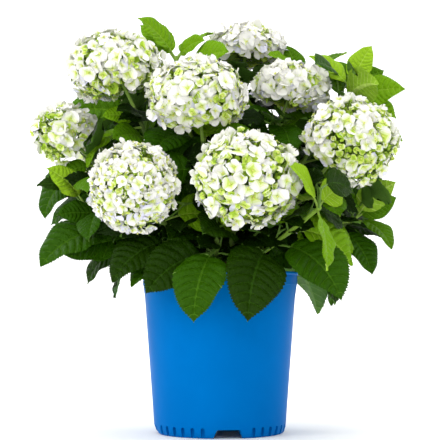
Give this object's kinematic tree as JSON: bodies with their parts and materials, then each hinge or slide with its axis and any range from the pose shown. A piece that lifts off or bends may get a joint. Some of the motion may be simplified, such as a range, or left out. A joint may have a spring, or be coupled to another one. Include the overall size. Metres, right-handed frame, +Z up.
{
  "type": "hydrangea shrub in a planter",
  "caption": "Mophead hydrangea in flower: woody canes, masses of broad opposite leaves and dense white flower heads, filling a round blue plastic planter with a flat lip and drainage slots.",
  "frame": {"origin": "the middle of the planter's flat underside, where the plant stands on a level surface", "axes": "+Z is up; -Y is the plant's front, the side seen in the picture; +X is to the right of someone who looks at the front"},
  "size_m": [0.5283, 0.4896, 0.5904],
  "materials": {
    "pot_blue_plastic": "satin",
    "soil": "matte",
    "bark": "matte",
    "leaf_green": "satin",
    "young_leaf_green": "satin",
    "sepal_white": "matte"
  },
  "bodies": {
    "root": {"cane_back": "bark", "cane_back_left": "bark", "cane_back_right": "bark", "cane_far_left": "bark", "cane_front": "bark", "cane_left_back": "bark", "cane_left_front": "bark", "cane_low_back_left": "bark", "cane_low_back_right": "bark", "cane_low_front_leaves": "bark", "cane_low_left_leaves": "bark", "cane_low_right_leaves": "bark", "cane_right": "bark", "cane_right_leaves": "bark", "cane_top_back": "bark", "cane_top_leaves": "bark", "cane_top_left": "bark", "cane_top_right_leaves": "bark", "cane_upper_left": "bark", "cane_upper_right": "bark", "cane_young_leaves": "bark", "flower_head_back": "sepal_white", "flower_head_back_left": "sepal_white", "flower_head_back_right": "sepal_white", "flower_head_far_left": "sepal_white", "flower_head_front": "sepal_white", "flower_head_left_back": "sepal_white", "flower_head_left_front": "sepal_white", "flower_head_low_back_left": "sepal_white", "flower_head_low_back_right": "sepal_white", "flower_head_right": "sepal_white", "flower_head_top_back": "sepal_white", "flower_head_top_left": "sepal_white", "flower_head_upper_left": "sepal_white", "flower_head_upper_right": "sepal_white", "foliage_back": "leaf_green", "foliage_back_left": "leaf_green", "foliage_back_right": "leaf_green", "foliage_far_left": "leaf_green", "foliage_front": "leaf_green", "foliage_left_back": "leaf_green", "foliage_left_front": "leaf_green", "foliage_low_back_left": "leaf_green", "foliage_low_back_right": "leaf_green", "foliage_low_front_leaves": "leaf_green", "foliage_low_left_leaves": "leaf_green", "foliage_low_right_leaves": "leaf_green", "foliage_right": "leaf_green", "foliage_right_leaves": "leaf_green", "foliage_top_back": "leaf_green", "foliage_top_leaves": "leaf_green", "foliage_top_left": "leaf_green", "foliage_top_right_leaves": "leaf_green", "foliage_upper_left": "leaf_green", "foliage_upper_right": "leaf_green", "foliage_young_leaves": "young_leaf_green", "pot": "pot_blue_plastic", "soil": "soil", "stem_base": "bark"}
  },
  "joints": []
}
